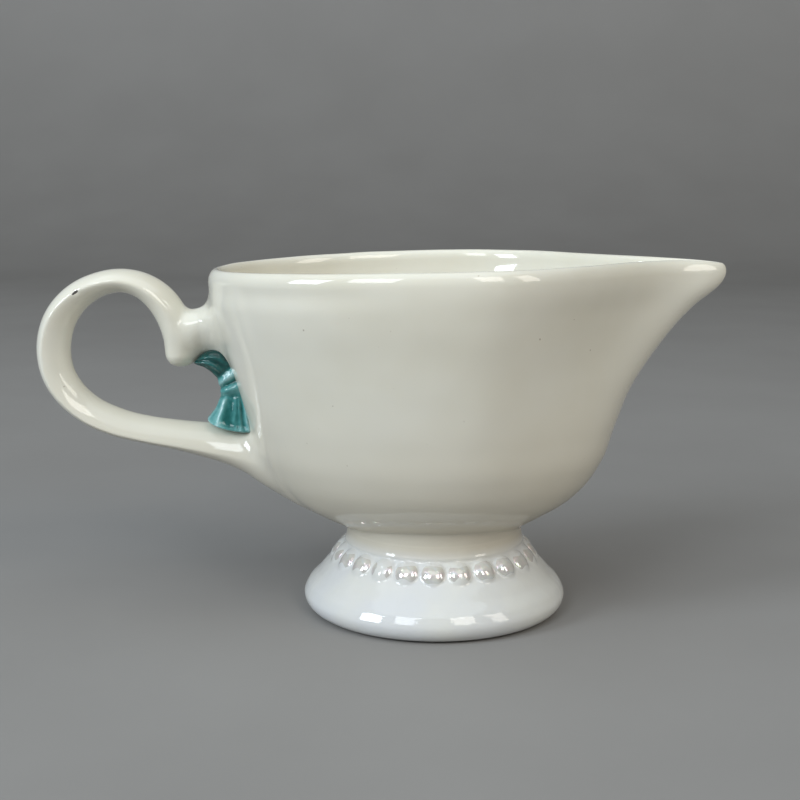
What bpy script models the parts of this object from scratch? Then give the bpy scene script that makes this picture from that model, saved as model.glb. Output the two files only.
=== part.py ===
"""Porcelain cream jug, standing on Z = 0 in metres, +Z up, spout towards +X and handle towards -X.

A cast oval bowl with a pouring spout stands on a turned hollow foot. A looped strap handle with a scroll
end meets the bowl below the rim and again at its root, a ribbon bow fills the web between them, and a
ring of lustred pearls lies on the foot's flare. All shapes are made about the foot's axis.
"""

import math

import bmesh
import bpy
import numpy as np

MM = 0.001

# Driving dimensions, in millimetres unless a name says otherwise.
FOOT_AXIS_X = 13.0  # the foot's axis, measured from the middle of the jug's length
GAP = 0.3  # left between neighbouring pieces
RIM_HEIGHT = 86.4
RIM_DIP = 2.3  # how far the rim falls towards the handle
RIM_CREST_X = 35.0
RIM_DIP_RUN = 90.0
TIP_DIP = 1.3  # how far the rim falls again at the spout's point
TIP_DIP_RUN = 36.0
LIP_RADIUS = 1.6
WALL = 3.3
BOWL_BASE_Z = 20.8
BOWL_FLOOR_Z = 25.4
BOWL_ASPECT = 0.79  # the bowl's reach to each side, as a share of its reach to the handle
NECK_RADIUS = 22.0  # the bowl runs down into a round neck that meets the foot
NOSE_START = math.radians(22)  # where the outline leaves the pointed spout
NOSE_END = math.radians(88)  # where it has become a plain ellipse
TIP_WALL = 0.5  # extra wall at the spout's point
NOSE_TIGHTEN = 0.07  # how much narrower the channel is than the spout round it

FOOT_TOP_Z = BOWL_BASE_Z - GAP
PEARL_COUNT = 24
PEARL_TURN = math.radians(-92)  # direction of the first pearl
PEARL_HEIGHT_Z = 14.6
PEARL_RADIUS = 2.85
PEARL_RISE = 1.3
PEARL_LIFT = GAP + 0.15  # a pearl's flat back clears the flare's curve by the gap

HANDLE_WIDTH = 12.0
HANDLE_SQUARENESS = 2.5  # exponent of the strap's superellipse section

# How finely the solids are faceted.
AROUND_BOWL = 56
AROUND_FOOT = 44
AROUND_STRAP = 16
AROUND_BOW = 14
AROUND_PEARL = 10
STRAP_STATIONS = 56
BOW_STATIONS = 15
FOOT_STATIONS = 14
UNDERSIDE_STATIONS = 9
LIP_STATIONS = 4
SPOUT_CROWDING = 0.35  # how much closer the bowl's facets lie at the spout's point
SCROLL_CAP = np.radians([78, 52, 26])  # the rings that round the scroll's end
PEARL_LEVELS = np.radians([0, 30, 60])  # the rings up a pearl's dome

# The bowl's outside at each height: reach to the spout and to the handle, and how pointed the outline is at
# the spout.
BOWL_LEVELS = (
    # z, spout, handle, nose
    (20.8, 22.0, 21.9, 0.00),
    (22.3, 24.0, 24.9, 0.00),
    (24.5, 27.7, 29.4, 0.00),
    (27.5, 32.5, 34.3, 0.00),
    (31.5, 37.0, 38.5, 0.02),
    (37.5, 41.1, 42.1, 0.06),
    (46.0, 44.1, 44.8, 0.14),
    (56.0, 48.2, 47.5, 0.28),
    (66.0, 54.8, 50.5, 0.46),
    (75.0, 62.3, 53.3, 0.62),
    (81.5, 69.2, 54.6, 0.74),
    (RIM_HEIGHT, 71.0, 54.6, 0.78),
)
OUTSIDE_HEIGHTS = (20.8, 21.7, 23.0, 25.0, 27.6, 31, 35, 40, 46, 53, 60, 66, 72, 77.5, 82)
INSIDE_HEIGHTS = (80, 74, 67, 60, 52, 44, 38, 33, 29.5, 27.2)
FLOOR_RINGS = ((0.8, 26.0), (0.4, BOWL_FLOOR_Z))  # share of the lowest inside ring, height

# The foot's outside from the foot ring's edge to the waist, then its underside back to the ring.
FOOT_OUTSIDE = (
    (28.3, 0.0),
    (30.6, 0.7),
    (32.0, 2.2),
    (32.4, 3.9),
    (31.6, 6.0),
    (28.7, 9.2),
    (25.6, 13.0),
    (23.3, 15.9),
    (22.0, 17.9),
    (21.6, FOOT_TOP_Z),
)
FOOT_UNDERSIDE = (
    (14.0, 17.0),
    (18.6, 15.8),
    (21.6, 12.4),
    (23.9, 8.0),
    (24.9, 3.2),
    (25.3, 0.7),
    (25.8, 0.0),
)

# The strap's centre line from the scroll's tip round the loop to the root: x, z, thickness, width.
STRAP = (
    (-61.3, 63.4, 6.6, 10.4),
    (-61.5, 67.4, 7.5, 11.2),
    (-63.3, 72.8, 7.7, 11.8),
    (-66.8, 77.2, 7.2, HANDLE_WIDTH),
    (-71.0, 79.8, 6.4, HANDLE_WIDTH),
    (-75.5, 80.8, 5.6, HANDLE_WIDTH),
    (-81.3, 80.0, 6.0, HANDLE_WIDTH),
    (-87.1, 76.5, 7.0, HANDLE_WIDTH),
    (-91.1, 71.2, 7.8, HANDLE_WIDTH),
    (-92.8, 64.2, 8.0, HANDLE_WIDTH),
    (-91.7, 57.8, 7.7, HANDLE_WIDTH),
    (-88.5, 52.8, 7.3, HANDLE_WIDTH),
    (-84.1, 49.2, 6.9, HANDLE_WIDTH),
    (-77.7, 46.4, 6.6, HANDLE_WIDTH),
    (-70.0, 44.5, 6.6, HANDLE_WIDTH),
    (-62.0, 43.1, 7.3, 12.4),
    (-55.5, 42.0, 8.5, 13.2),
    (-50.0, 41.0, 10.1, 14.6),
    (-45.0, 39.9, 12.3, 16.4),
    (-40.0, 38.4, 15.3, 18.0),
    (-32.0, 36.4, 18.0, 19.0),
)

# The short bridge from the scroll to the wall below the rim: x, middle height, half height, half width.
BRIDGE = (
    (-63.5, 66.8, 5.0, 3.6),
    (-61.0, 67.3, 6.4, 4.8),
    (-58.5, 68.0, 6.1, 5.0),
    (-56.0, 69.2, 5.3, 4.9),
    (-53.0, 69.6, 6.4, 6.0),
    (-50.0, 69.6, 8.0, 7.4),
    (-46.0, 69.2, 8.8, 8.2),
)

# The bow's web at each height: its edge on the finger hole, and its half width.
BOW = (
    (42.5, -58.0, 6.3),
    (45.5, -56.6, 6.3),
    (48.2, -54.9, 6.1),
    (50.6, -53.2, 5.2),
    (54.3, -52.2, 4.2),
    (56.9, -52.8, 4.4),
    (58.7, -54.3, 4.9),
    (60.0, -56.0, 5.0),
    (62.0, -58.4, 4.6),
    (65.5, -58.8, 4.4),
)
BOW_BACK_X = -43.0  # inside the bowl's wall, which trims it
BOW_SQUARENESS = 2.7


def hermite(knots, values, at):
    """A smooth curve through the knots: cubic, with each slope taken from its neighbours."""
    knots = np.asarray(knots, float)
    values = np.asarray(values, float)
    steps = np.diff(knots)
    rises = np.diff(values) / steps
    slopes = np.empty_like(values)
    slopes[1:-1] = (rises[:-1] * steps[1:] + rises[1:] * steps[:-1]) / (steps[1:] + steps[:-1])
    slopes[0] = rises[0]
    slopes[-1] = rises[-1]
    at = np.asarray(at, float)
    left = np.clip(np.searchsorted(knots, at) - 1, 0, len(steps) - 1)
    step = steps[left]
    t = (at - knots[left]) / step
    rise = values[left + 1] - values[left]
    bend_in = slopes[left] * step - rise
    bend_out = rise - slopes[left + 1] * step
    return values[left] + t * rise + t * (1 - t) * ((1 - t) * bend_in + t * bend_out)


def along(points, count):
    """Points spaced evenly along the smooth curve through the given ones, in every column."""
    points = np.asarray(points, float)
    runs = np.hypot(*np.diff(points[:, :2], axis=0).T)
    knots = np.concatenate([[0], np.cumsum(runs)])
    at = np.linspace(0, knots[-1], count)
    return np.column_stack([hermite(knots, column, at) for column in points.T])


def smooth_step(value, low, high):
    t = np.clip((value - low) / (high - low), 0, 1)
    return t**3 * (10 - 15 * t + 6 * t * t)


def outline_angles():
    """Angles round the bowl, closest together at the spout's point."""
    turn = np.linspace(-math.pi, math.pi, AROUND_BOWL, endpoint=False)
    return turn - SPOUT_CROWDING * np.sin(turn)


def bowl_ring(angles, spout, handle, side, nose, z):
    """One outline of the bowl: an ellipse towards the handle and a drawn-out one towards the spout."""
    reach = np.where(np.cos(angles) > 0, spout, handle)
    bearing = np.abs(angles)
    squeeze = 1 - nose * (1 - smooth_step(bearing, NOSE_START, NOSE_END))
    x = reach * np.cos(angles)
    y = side * np.sin(angles) * squeeze
    return np.column_stack([x, y, np.full_like(x, z)])


def rim_drop(ring):
    """Lowers a ring near the rim, which dips towards the handle and a little at the spout's point."""
    fade = smooth_step(ring[:, 2], 0.45 * RIM_HEIGHT, RIM_HEIGHT)
    to_handle = np.maximum(RIM_CREST_X - ring[:, 0], 0) / RIM_DIP_RUN
    to_tip = np.maximum(ring[:, 0] - RIM_CREST_X, 0) / TIP_DIP_RUN
    ring[:, 2] -= fade * (RIM_DIP * to_handle**2 + TIP_DIP * to_tip**4)
    return ring


def offset_profile(reach, z, distance):
    """The profile moved inwards by a wall's thickness, square to itself."""
    slope_r = np.gradient(reach)
    slope_z = np.gradient(z)
    length = np.hypot(slope_r, slope_z)
    return reach - distance * slope_z / length, z + distance * slope_r / length


def bowl_outside(angles, heights, grow=0.0):
    """Rings up the outside, which is never narrower than the neck."""
    levels = np.array(BOWL_LEVELS)
    rings = []
    for z in heights:
        spout, handle, nose = (hermite(levels[:, 0], column, z) for column in levels.T[1:])
        ring = bowl_ring(angles, spout + grow, handle + grow, BOWL_ASPECT * handle + grow, nose, z)
        ring[:, :2] *= np.maximum(1, (NECK_RADIUS + grow) / np.hypot(*ring[:, :2].T))[:, None]
        rings.append(rim_drop(ring))
    return rings


def bowl_inside(angles, heights):
    knots, spouts, handles, noses = np.array(BOWL_LEVELS).T
    dense = np.linspace(BOWL_BASE_Z, RIM_HEIGHT, 90)
    tip_wall = TIP_WALL * smooth_step(dense, 0.7 * RIM_HEIGHT, RIM_HEIGHT)
    walls = []
    for outside, extra in ((spouts, tip_wall), (handles, 0), (BOWL_ASPECT * handles, 0)):
        reach, z = offset_profile(hermite(knots, outside, dense), dense, WALL + extra)
        walls.append(np.interp(heights, z, reach))
    noses = (1 + NOSE_TIGHTEN / noses[-1]) * hermite(knots, noses, heights)
    rings = []
    for spout, handle, side, nose, z in zip(*walls, noses, heights):
        rings.append(rim_drop(bowl_ring(angles, spout, handle, side, nose, z)))
    return rings


def lip_rings(outer, inner, steps):
    """Half a turn over the lip, from the outer ring to the inner one."""
    middle = (outer + inner) / 2
    half = (outer - inner) / 2
    rings = []
    for turn in np.linspace(0, math.pi, steps + 2)[1:-1]:
        ring = middle + half * math.cos(turn)
        ring[:, 2] = middle[:, 2] + LIP_RADIUS * math.sin(turn)
        rings.append(ring)
    return rings


def clear_scene():
    for old in list(bpy.data.objects):
        bpy.data.objects.remove(old)


def new_object(name, mesh, parent):
    made = bpy.data.objects.new(name, mesh)
    bpy.context.collection.objects.link(made)
    made.parent = parent
    return made


def mesh_from(built, name):
    bmesh.ops.recalc_face_normals(built, faces=built.faces)
    mesh = bpy.data.meshes.new(name)
    built.to_mesh(mesh)
    built.free()
    mesh.shade_smooth()
    mesh.set_sharp_from_angle(angle=math.radians(50))
    return mesh


def loft(name, rings, parent):
    """A closed body through rings of points in millimetres, the first and last closed to a middle point."""
    built = bmesh.new()
    rows = [[built.verts.new(np.asarray(point) * MM) for point in ring] for ring in rings]
    for lower, upper in zip(rows, rows[1:]):
        for i, corner in enumerate(lower):
            j = (i + 1) % len(lower)
            built.faces.new((corner, lower[j], upper[j], upper[i]))
    for row, ring in ((rows[0], rings[0]), (rows[-1], rings[-1])):
        middle = built.verts.new(np.mean(ring, axis=0) * MM)
        for i, corner in enumerate(row):
            built.faces.new((corner, row[(i + 1) % len(row)], middle))
    return new_object(name, mesh_from(built, name), parent)


def turned(name, profile, around, parent):
    """A body turned about Z from an open profile of (radius, z) whose two ends close on the axis."""
    rings = []
    for radius, z in profile:
        turns = np.linspace(0, 2 * math.pi, around, endpoint=False)
        rings.append(np.column_stack([radius * np.cos(turns), radius * np.sin(turns), np.full(around, z)]))
    return loft(name, rings, parent)


def hide_cutter(cutter):
    cutter.hide_render = True
    cutter.display_type = "WIRE"
    return cutter


def boolean(target, other, operation):
    modifier = target.modifiers.new(f"{operation.lower()}_{other.name}", "BOOLEAN")
    modifier.operation = operation
    modifier.solver = "EXACT"
    modifier.object = other


def material(name, colour, roughness, coat=0.0):
    made = bpy.data.materials.new(name)
    made.use_nodes = True
    shader = made.node_tree.nodes["Principled BSDF"]
    shader.inputs["Base Color"].default_value = (*colour, 1.0)
    shader.inputs["Roughness"].default_value = roughness
    shader.inputs["Metallic"].default_value = 0.0
    shader.inputs["Coat Weight"].default_value = coat
    made.diffuse_color = (*colour, 1.0)
    return made


def make_bowl(parent):
    angles = outline_angles()
    lip_foot = RIM_HEIGHT - LIP_RADIUS
    outside = bowl_outside(angles, [*OUTSIDE_HEIGHTS, lip_foot])
    inside = bowl_inside(angles, [lip_foot, *INSIDE_HEIGHTS])
    floor = []
    for share, z in FLOOR_RINGS:
        ring = inside[-1] * (share, share, 1)
        ring[:, 2] = z
        floor.append(ring)
    rings = outside + lip_rings(outside[-1], inside[0], LIP_STATIONS) + inside + floor
    return loft("bowl", rings, parent)


def make_foot(parent):
    outside = along(FOOT_OUTSIDE, FOOT_STATIONS)
    underside = along(FOOT_UNDERSIDE, UNDERSIDE_STATIONS)
    return turned("pedestal_foot", [*underside, *outside], AROUND_FOOT, parent)


def strap_rings(grow):
    """Superellipse sections square to the centre line, with a rounded scroll end."""
    line = along(STRAP, STRAP_STATIONS)
    turns = np.linspace(0, 2 * math.pi, AROUND_STRAP, endpoint=False)
    power = 2 / HANDLE_SQUARENESS
    across = np.sign(np.cos(turns)) * np.abs(np.cos(turns)) ** power
    sideways = np.sign(np.sin(turns)) * np.abs(np.sin(turns)) ** power
    heading = np.gradient(line[:, :2], axis=0)
    heading /= np.hypot(*heading.T)[:, None]
    rings = []
    for (x, z, thickness, width), (hx, hz) in zip(line, heading):
        normal = across * (thickness / 2 + grow)
        rings.append(np.column_stack([x - hz * normal, sideways * (width / 2 + grow), z + hx * normal]))
    start = rings[0]
    middle = start.mean(axis=0)
    back = np.array([-heading[0, 0], 0, -heading[0, 1]]) * (line[0, 2] / 2 + grow)
    caps = [middle + (start - middle) * math.cos(turn) + back * math.sin(turn) for turn in SCROLL_CAP]
    return caps + rings


def bridge_rings(grow):
    turns = np.linspace(0, 2 * math.pi, AROUND_STRAP, endpoint=False)
    return [
        np.column_stack([
            np.full(AROUND_STRAP, x),
            np.cos(turns) * (half_width + grow),
            middle_z + np.sin(turns) * (half_height + grow),
        ])
        for x, middle_z, half_height, half_width in BRIDGE
    ]


def bowl_clearance(parent):
    """The bowl's outside grown by the gap and closed across the top, to trim what meets it."""
    rings = bowl_outside(outline_angles(), [*OUTSIDE_HEIGHTS, RIM_HEIGHT], GAP)
    rings.append(rings[-1] + (0, 0, 2 * LIP_RADIUS))
    rings[0][:, 2] -= GAP
    return hide_cutter(loft("bowl_clearance", rings, parent))


def make_handle(parent, clearance):
    strap = loft("handle", strap_rings(0), parent)
    bridge = hide_cutter(loft("handle_bridge", bridge_rings(0), parent))
    boolean(strap, bridge, "UNION")
    boolean(strap, clearance, "DIFFERENCE")
    return strap


def make_bow(parent, clearance):
    turns = np.linspace(0, 2 * math.pi, AROUND_BOW, endpoint=False)
    power = 2 / BOW_SQUARENESS
    across = np.sign(np.cos(turns)) * np.abs(np.cos(turns)) ** power
    sideways = np.sign(np.sin(turns)) * np.abs(np.sin(turns)) ** power
    rings = []
    for z, hole_x, half_width in along(BOW, BOW_STATIONS):
        x = (hole_x + BOW_BACK_X) / 2 + (BOW_BACK_X - hole_x) / 2 * across
        rings.append(np.column_stack([x, half_width * sideways, np.full(AROUND_BOW, z)]))
    bow = loft("ribbon_bow", rings, parent)
    boolean(bow, clearance, "DIFFERENCE")
    neighbours = {"strap_clearance": strap_rings(GAP), "bridge_clearance": bridge_rings(GAP)}
    for name, rings in neighbours.items():
        boolean(bow, hide_cutter(loft(name, rings, parent)), "DIFFERENCE")
    return bow


def make_pearls(parent):
    """Low domes square to the foot's flare, each with a flat back that stands clear of the foot."""
    profile = along(FOOT_OUTSIDE, 4 * FOOT_STATIONS)
    nearest = int(np.argmin(np.abs(profile[:, 1] - PEARL_HEIGHT_Z)))
    radius, height = profile[nearest]
    slope_r, slope_z = profile[nearest + 1] - profile[nearest - 1]
    tilt = math.atan2(-slope_r, slope_z)  # how far the flare's face looks up
    turns = np.linspace(0, 2 * math.pi, AROUND_PEARL, endpoint=False)
    rings = []
    for level in PEARL_LEVELS:
        size = PEARL_RADIUS * math.cos(level)
        rise = np.full(AROUND_PEARL, PEARL_RISE * math.sin(level))
        rings.append(np.column_stack([size * np.cos(turns), size * np.sin(turns), rise]))
    for number in range(PEARL_COUNT):
        pearl = loft(f"pearl_{number + 1:02d}", rings, parent)
        turn = PEARL_TURN + number * 2 * math.pi / PEARL_COUNT
        out = radius + PEARL_LIFT * math.cos(tilt)
        pearl.location = (
            out * math.cos(turn) * MM,
            out * math.sin(turn) * MM,
            (height + PEARL_LIFT * math.sin(tilt)) * MM,
        )
        pearl.rotation_euler = (0, math.pi / 2 - tilt, turn)
        yield pearl


def main():
    clear_scene()
    ivory = material("ivory_glaze", (0.74, 0.71, 0.62), 0.12, 0.5)
    teal = material("teal_glaze", (0.03, 0.22, 0.19), 0.10, 0.5)
    pearl = material("pearl_lustre", (0.80, 0.80, 0.78), 0.08, 1.0)

    axis = bpy.data.objects.new("foot_axis", None)
    bpy.context.collection.objects.link(axis)
    axis.location = (FOOT_AXIS_X * MM, 0, 0)

    clearance = bowl_clearance(axis)
    make_bowl(axis).data.materials.append(ivory)
    make_foot(axis).data.materials.append(ivory)
    make_handle(axis, clearance).data.materials.append(ivory)
    make_bow(axis, clearance).data.materials.append(teal)
    for dome in make_pearls(axis):
        dome.data.materials.append(pearl)


main()
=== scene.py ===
"""Looks of a porcelain cream jug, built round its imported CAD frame.

The jug is one glazed firing, so the pieces here run into each other with glaze fillets. Until a piece is
made, every length is in millimetres from the foot's axis: spout at +X, handle at -X, table at Z = 0.
"""

import math

import bpy
import numpy as np
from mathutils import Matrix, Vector


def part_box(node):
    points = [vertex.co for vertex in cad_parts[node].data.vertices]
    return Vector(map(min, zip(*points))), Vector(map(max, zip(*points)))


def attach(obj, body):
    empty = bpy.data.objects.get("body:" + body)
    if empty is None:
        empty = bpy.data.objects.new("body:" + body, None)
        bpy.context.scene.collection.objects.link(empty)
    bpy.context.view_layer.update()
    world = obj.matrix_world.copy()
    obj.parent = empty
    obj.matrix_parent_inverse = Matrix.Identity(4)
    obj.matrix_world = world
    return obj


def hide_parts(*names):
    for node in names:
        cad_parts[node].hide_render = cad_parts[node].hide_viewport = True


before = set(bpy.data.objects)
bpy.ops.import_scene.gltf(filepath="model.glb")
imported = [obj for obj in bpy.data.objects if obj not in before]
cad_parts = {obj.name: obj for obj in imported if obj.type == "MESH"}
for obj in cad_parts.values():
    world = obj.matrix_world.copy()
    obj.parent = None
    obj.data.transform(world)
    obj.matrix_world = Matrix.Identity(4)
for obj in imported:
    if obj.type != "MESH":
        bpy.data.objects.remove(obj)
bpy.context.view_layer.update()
foot_low, foot_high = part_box("pedestal_foot")

MM = 0.001
AXIS = Vector(((foot_low.x + foot_high.x) / 2, (foot_low.y + foot_high.y) / 2, foot_low.z))

# The bowl, as the CAD makes it.
RIM_HEIGHT = 86.25
RIM_DIP = 2.3  # how far the rim dips from its crest to the handle
RIM_DIP_RUN = 90.0
RIM_DIP_LOW = 0.45 * RIM_HEIGHT  # the dip fades out down the wall to here
RIM_CREST_X = 35.0
TIP_DIP = 1.3  # and from its crest to the spout's point
TIP_DIP_RUN = 36.0
WALL = 3.3
TIP_WALL = 0.5  # how much thicker the wall is at the spout's point
TIP_WALL_LOW = 0.7 * RIM_HEIGHT
NOSE_START = math.radians(22)  # the outline draws in to the spout between these angles from its point
NOSE_END = math.radians(88)
NOSE_TIGHTEN = 0.07  # how much more pointed the inside is
BOWL_BASE_Z = 20.8
BOWL_FLOOR_Z = 25.0
FLOOR_EDGE_Z = 27.2
BOWL_ASPECT = 0.7885  # the bowl's reach to each side, as a share of its reach to the handle
BOWL_LEVELS = np.array([
    # z, reach to the spout and to the handle, how pointed the outline is at the spout
    (20.8, 22.0, 21.9, 0.00),
    (22.3, 24.0, 24.9, 0.00),
    (24.5, 27.7, 29.4, 0.00),
    (27.5, 32.5, 34.3, 0.00),
    (31.5, 37.0, 38.5, 0.02),
    (37.5, 41.1, 42.1, 0.06),
    (46.0, 44.1, 44.8, 0.14),
    (56.0, 48.2, 47.5, 0.28),
    (66.0, 54.8, 50.5, 0.46),
    (75.0, 62.3, 53.3, 0.62),
    (81.5, 69.2, 54.6, 0.74),
    (RIM_HEIGHT, 71.0, 54.6, 0.78),
])
LIP_FALL_OUTSIDE = 3.3  # the lip rolls down this far on the outside
LIP_FALL_INSIDE = 2.6
LIP_CREST = 0.55  # where the crest lies across the wall, from the outside
LIP_GROOVE = 0.5  # how far the wall draws in under the lip at the handle
LIP_GROOVE_FALL = 5.0  # how far below the crest it lies
LIP_GROOVE_WIDTH = 2.4
LIP_GROOVE_FADE = (-42, 5)  # it fades out between these places in x
WAIST_FILLET = 0.5
WAIST_SLOPE = 1.65  # how fast the bowl's underside runs inwards below its base
NECK_TOP_Z = 27.0
NECK_RISES = (19.2, 20.4)  # the neck comes out of the foot's glaze between these heights
SEAM_DEPTH = 0.02  # the neck and the handle's fairing end this far below the glaze that they run into

# How finely the bowl is cut: points round it, crowded towards the spout and the handle, and rows up it.
BOWL_AROUND = 360
BOWL_CROWDING = 0.2
NECK_ROWS = np.linspace(19.0, 26.0, 40)
WALL_ROWS = np.linspace(26.0, RIM_HEIGHT - LIP_FALL_OUTSIDE, 70)[1:-1]
LIP_TURNS = np.radians(np.linspace(0, 90, 15))
INSIDE_ROWS = np.linspace(RIM_HEIGHT - LIP_FALL_INSIDE, FLOOR_EDGE_Z, 72)[1:]
FLOOR_SHARES = np.linspace(1, 0.03, 26)[1:]  # of the way out from the floor's middle to its edge

# The foot's outside, from the foot ring's edge to the waist, and its hollow underside: radius, z.
FOOT_OUTSIDE = (
    (28.3, 0.0),
    (30.6, 0.7),
    (32.0, 2.2),
    (32.4, 3.9),
    (31.6, 6.0),
    (28.7, 9.2),
    (25.6, 13.0),
    (23.3, 15.9),
    (22.0, 17.9),
    (21.6, 20.5),
)
FOOT_UNDERSIDE = (
    (14.0, 17.0),
    (18.6, 15.8),
    (21.6, 12.4),
    (23.9, 8.0),
    (24.9, 3.2),
    (25.3, 0.7),
    (25.8, 0.0),
)
FOOT_AROUND = 560
FOOT_OUTSIDE_ROWS = 130
FOOT_UNDERSIDE_ROWS = 40
FOOT_FLAT_Z = 1.0  # the foot is true and even below this
BARE_RING_Z = 0.25  # the glaze is wiped off below this
PEARL_LEDGE_Z = 17.7  # the glaze above the pearls ends in a ledge
PEARL_LEDGE_DEPTH = 0.4
PEARL_LEDGE_DROP = 0.7
PEARL_BAND_Z = (10.0, 14.5)  # the foot draws in to the ledge's depth between these heights
PEARL_RADIUS = 3.0
PEARL_RISE = 1.3
PEARL_ROUNDNESS = 2.6  # the power of a pearl's dome, flatter on top when high
PEARL_FILLET = 0.7  # how widely a pearl runs into the glaze
PEARL_REACH = 4.5  # no pearl swells the glaze beyond this
PEARL_DROP = 0.5  # how far a pearl's middle lies below the middle of its CAD box
PEARL_UNEVENNESS = 0.07
PEARL_DROWNED = 0.35  # how much of its size a pearl loses at the foot's sides, where the glaze drowned it
PEARL_DROWNED_TURNS = (0.6, 1.2)  # radians from the front
PEARL_CAP = 0.9  # the lustre covers this share of a pearl's radius
PEARL_CAP_LIFT = 0.02  # and lies this far over the glaze
PEARL_CAP_AROUND = 48
PEARL_CAP_ROWS = 24

HANDLE_WIDTH = 12.0
# The strap's centre line from the scroll's tip round the loop to the root: x, z, thickness, width, where
# it is widest, as a share of its thickness from the loop's outside, and its edge's power, crisper when low.
STRAP = (
    (-62.1, 63.5, 7.0, 10.2, 0.50, 2.1),
    (-62.3, 67.4, 7.4, 11.2, 0.50, 2.1),
    (-64.0, 72.7, 7.6, 11.8, 0.50, 1.8),
    (-67.3, 77.2, 7.1, HANDLE_WIDTH, 0.50, 1.6),
    (-71.3, 79.9, 6.2, HANDLE_WIDTH, 0.50, 1.6),
    (-75.5, 80.9, 5.7, HANDLE_WIDTH, 0.48, 1.6),
    (-81.3, 79.9, 6.0, HANDLE_WIDTH, 0.43, 1.5),
    (-87.1, 76.5, 7.0, HANDLE_WIDTH, 0.36, 1.4),
    (-91.1, 71.2, 7.8, HANDLE_WIDTH, 0.31, 1.35),
    (-92.75, 64.2, 8.0, HANDLE_WIDTH, 0.28, 1.35),
    (-91.7, 57.8, 7.7, HANDLE_WIDTH, 0.26, 1.35),
    (-88.5, 52.8, 7.3, HANDLE_WIDTH, 0.25, 1.35),
    (-84.1, 49.1, 7.0, HANDLE_WIDTH, 0.24, 1.35),
    (-77.7, 46.2, 6.8, HANDLE_WIDTH, 0.24, 1.38),
    (-70.0, 44.3, 6.7, HANDLE_WIDTH, 0.24, 1.4),
    (-62.0, 42.9, 7.3, 12.4, 0.26, 1.5),
    (-55.5, 41.8, 8.5, 13.2, 0.30, 1.6),
    (-50.0, 40.8, 10.1, 14.6, 0.34, 1.7),
    (-45.0, 39.7, 12.3, 16.4, 0.38, 1.8),
    (-40.0, 38.4, 15.3, 18.0, 0.40, 2.0),
    (-32.0, 36.4, 18.0, 19.0, 0.40, 2.0),
)
STRAP_SAMPLES = 420
FACE_POWER = 2.0  # higher is a flatter face
CHIP_PLACE = 0.2825  # share of the strap's length from the scroll to a small chip in its edge
CHIP_TILT = math.radians(35)
CHIP_DEPTH = 0.3
CHIP_RADIUS = 0.7

# The bridge from the scroll to the wall below the rim: x, middle height, half height, half width.
BRIDGE = (
    (-62.3, 66.9, 4.6, 3.6),
    (-60.5, 67.3, 6.0, 4.6),
    (-58.5, 67.7, 6.2, 5.2),
    (-56.0, 68.5, 5.9, 5.3),
    (-53.0, 69.2, 6.4, 6.2),
    (-50.0, 69.6, 8.0, 7.6),
    (-46.0, 69.2, 8.8, 8.2),
    (-40.0, 69.2, 8.8, 8.2),
)
BRIDGE_TAPER = 0.4  # its underside is narrower
BRIDGE_SHOULDER = 0.6  # it is widest from this share of its half height upwards
SCROLL_BLEND = 3.6  # how widely the scroll and bridge run together
BOWL_BLEND = 6.5  # how widely the handle runs into the bowl
SEAM_CLIMB = 0.6  # how fast the fairing sinks away beyond its edge
ROOT_DEPTH = 1.5  # how far the handle reaches into the bowl's wall
HANDLE_LOW = (-99.0, -24.0, 19.0)
HANDLE_HIGH = (-20.0, 24.0, 86.0)
GRID_STEP = 0.4

# The leaf-shaped pad where the handle spreads over the bowl: height, half width.
PAD = (
    (27.0, 10.3),
    (31.3, 13.0),
    (38.7, 16.4),
    (45.2, 18.0),
    (50.8, 19.8),
    (55.8, 21.4),
    (63.1, 23.8),
    (69.5, 25.6),
    (76.5, 26.1),
    (84.0, 25.4),
)
PAD_RISE = 0.42
PAD_EDGE = (-2.6, 0.9)  # the pad falls away between these distances from its outline
PAD_BOTTOM = (24, 31)  # and it fades out at its ends between these heights
PAD_TOP = (77, 84)

# The bow on the web, from its tip under the scroll to its hem on the arm: the edge on the finger hole and
# the edge on the wall, each as x and z, then the half width.
BOW = (
    (-58.6, 60.9, -57.9, 61.9, 2.6),
    (-57.6, 60.5, -56.4, 62.9, 4.0),
    (-56.2, 60.1, -54.2, 63.7, 4.9),
    (-54.8, 59.2, -51.6, 63.5, 5.2),
    (-53.5, 57.9, -49.4, 61.8, 5.1),
    (-52.6, 56.4, -48.2, 59.6, 4.9),
    (-52.2, 54.8, -47.4, 57.0, 4.7),
    (-52.2, 53.4, -46.7, 54.6, 4.9),
    (-52.7, 51.8, -46.0, 52.2, 5.4),
    (-53.5, 50.0, -45.3, 49.9, 6.0),
    (-54.6, 48.5, -44.9, 47.4, 6.6),
    (-55.3, 47.3, -44.6, 45.4, 7.0),
    (-55.0, 46.3, -44.6, 44.4, 6.8),
)
BOW_STATIONS = 150
BOW_AROUND = 200
BOW_DEPTH = (1.0, 2.1)  # how far the web runs on into the wall, above and below
BOW_DEPTH_PLACES = (0.3, 0.7)
BOW_SQUARENESS = 3.2
# From here on, places and widths along the bow are shares of the way from its tip to its hem.
KNOT_ROLLS = (0.45, 0.565)  # where the knot's two rolls lie
KNOT_RISE = 0.75
KNOT_WIDTH = 0.042
KNOT_WAIST = np.mean(KNOT_ROLLS)
# The tucks between and beside the rolls: place, width and how deep, as a share of the full depth.
TUCKS = ((KNOT_WAIST, 0.020, 0.6), (KNOT_ROLLS[1] + 0.075, 0.024, 0.35), (KNOT_ROLLS[0] - 0.08, 0.03, 0.6))
TUCK_DEPTH = 0.45
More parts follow.
